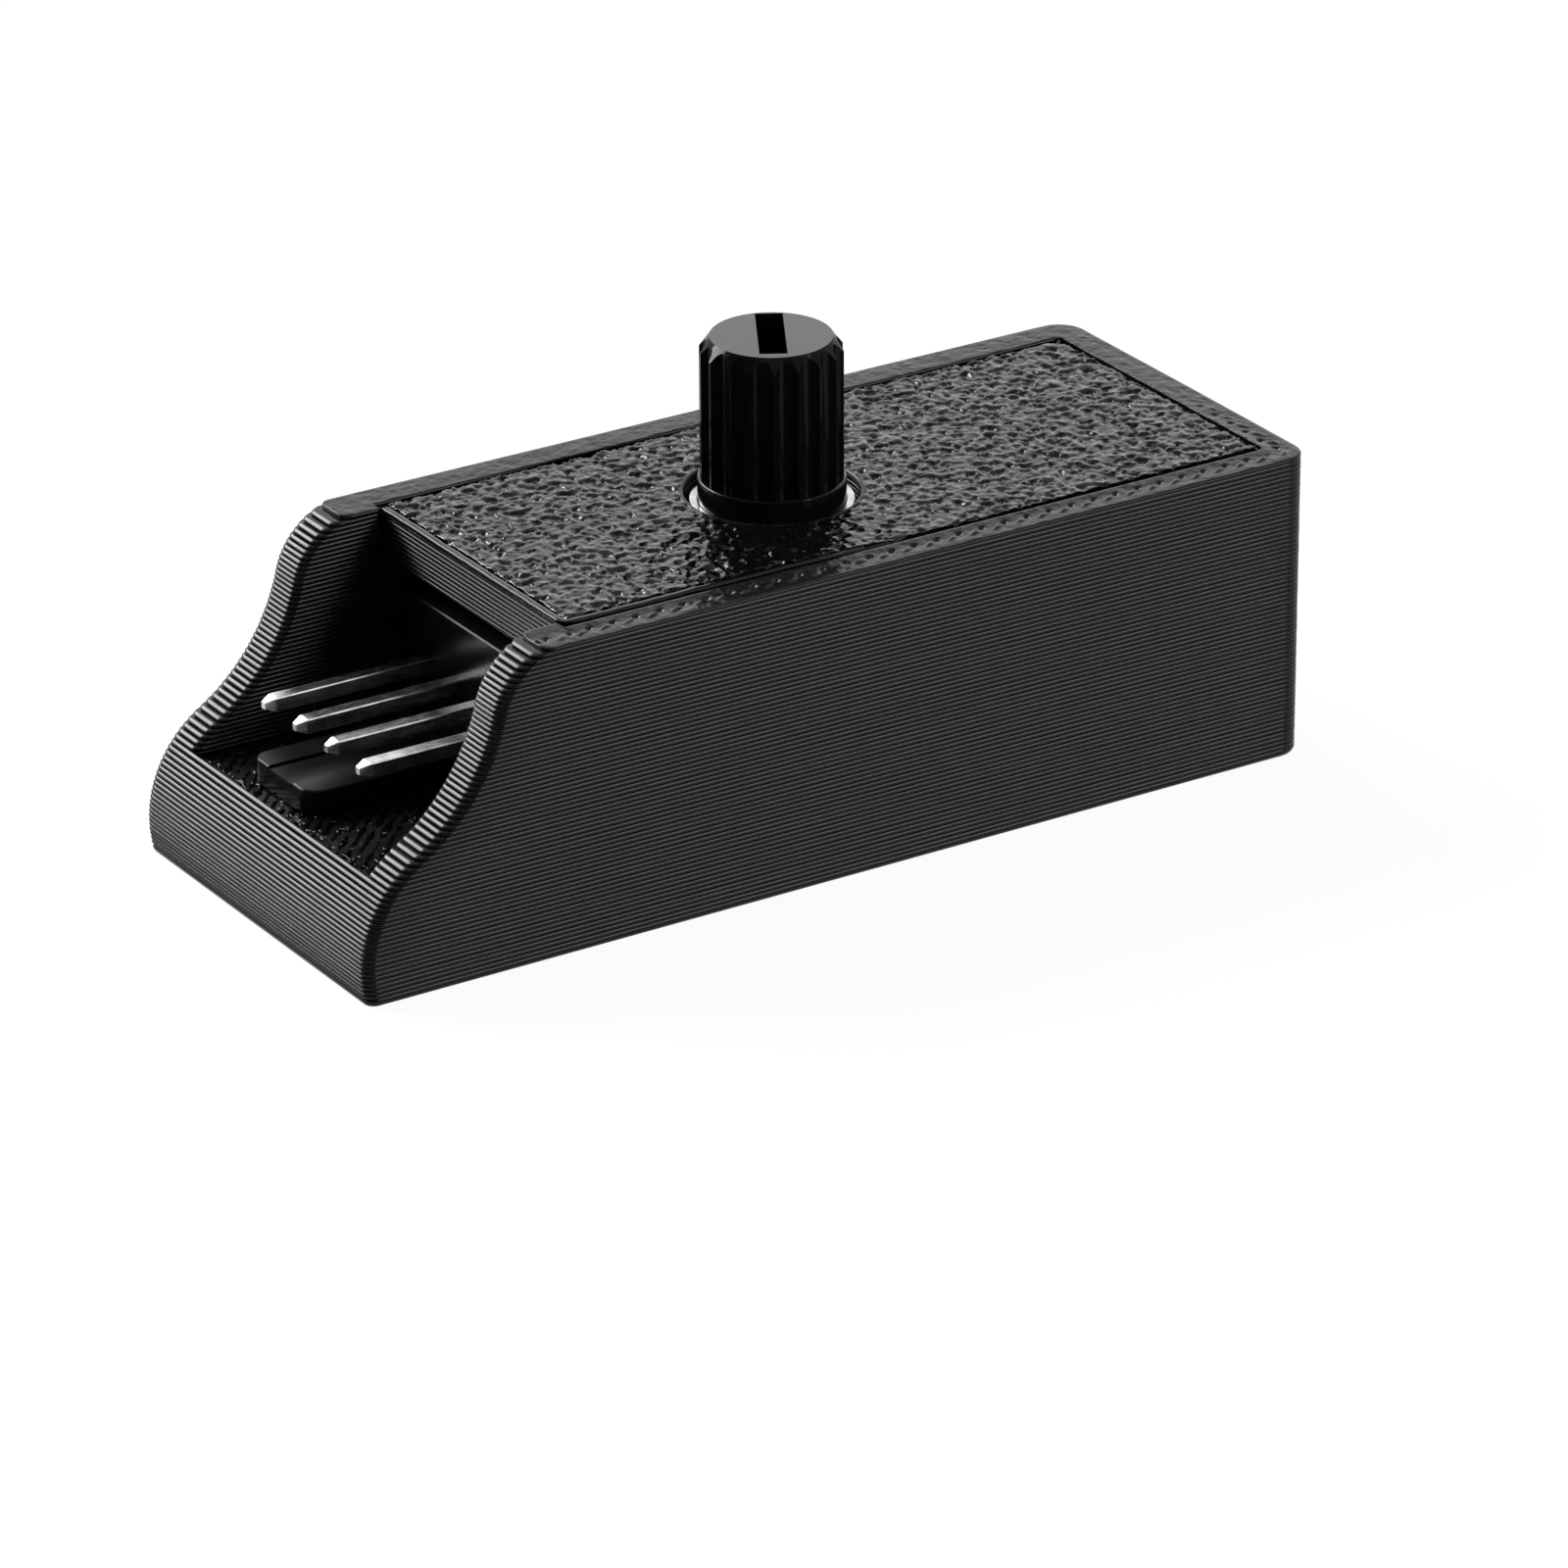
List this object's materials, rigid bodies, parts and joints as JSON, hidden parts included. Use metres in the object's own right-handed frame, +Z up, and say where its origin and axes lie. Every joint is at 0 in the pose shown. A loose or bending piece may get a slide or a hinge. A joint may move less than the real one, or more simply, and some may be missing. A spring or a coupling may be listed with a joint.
{
  "type": "pc fan controller hub",
  "caption": "Small black printed case with an S-curved open nose over a keyed pin header, a flush pitted lid and a splined shaft that sets the fan speed.",
  "frame": {"origin": "middle of the underside", "axes": "+Z up along the shaft, +X along the case from the open nose to the rear, +Y to the far side"},
  "size_m": [0.0456, 0.0182, 0.0203],
  "materials": {
    "printed_black": "satin, printed in layers",
    "moulded_black": "satin moulded",
    "shaft_black": "gloss moulded",
    "tin_plate": "bright tin",
    "nickel_steel": "satin nickel",
    "spring_bronze": "bright",
    "board_laminate": "satin black solder mask",
    "track_wafer": "matt",
    "chip_black": "matt",
    "can_aluminium": "satin",
    "chip_ceramic": "matt",
    "capacitor_ceramic": "matt",
    "solder": "bright"
  },
  "bodies": {
    "case": {"enclosure_body": "printed_black", "lid": "printed_black", "circuit_board": "board_laminate", "output_header": "moulded_black", "input_socket": "moulded_black", "pot_case": "moulded_black", "pot_cover": "nickel_steel", "pot_track": "track_wafer", "timer_chip": "chip_black", "timer_chip_leads": "tin_plate", "regulator": "chip_black", "regulator_leads": "tin_plate", "supply_capacitor_can": "can_aluminium", "supply_capacitor_base": "moulded_black", "resistors": "chip_ceramic", "ceramic_capacitors": "capacitor_ceramic", "diode": "chip_black", "solder_joints": "solder", "output_pin_1": "tin_plate", "input_contact_1": "spring_bronze", "output_pin_2": "tin_plate", "input_contact_2": "spring_bronze", "output_pin_3": "tin_plate", "input_contact_3": "spring_bronze", "output_pin_4": "tin_plate", "input_contact_4": "spring_bronze", "pot_terminal_1": "tin_plate", "pot_terminal_2": "tin_plate", "pot_terminal_3": "tin_plate"},
    "dial": {"pot_shaft": "shaft_black", "pot_wiper": "spring_bronze"}
  },
  "joints": [
    {"name": "shaft_turn", "type": "hinge", "parent": "case", "child": "dial", "pos_m": [0.002, 0, 0.0135], "axis": [0, 0, 1], "range_deg": [-198, 82]}
  ]
}
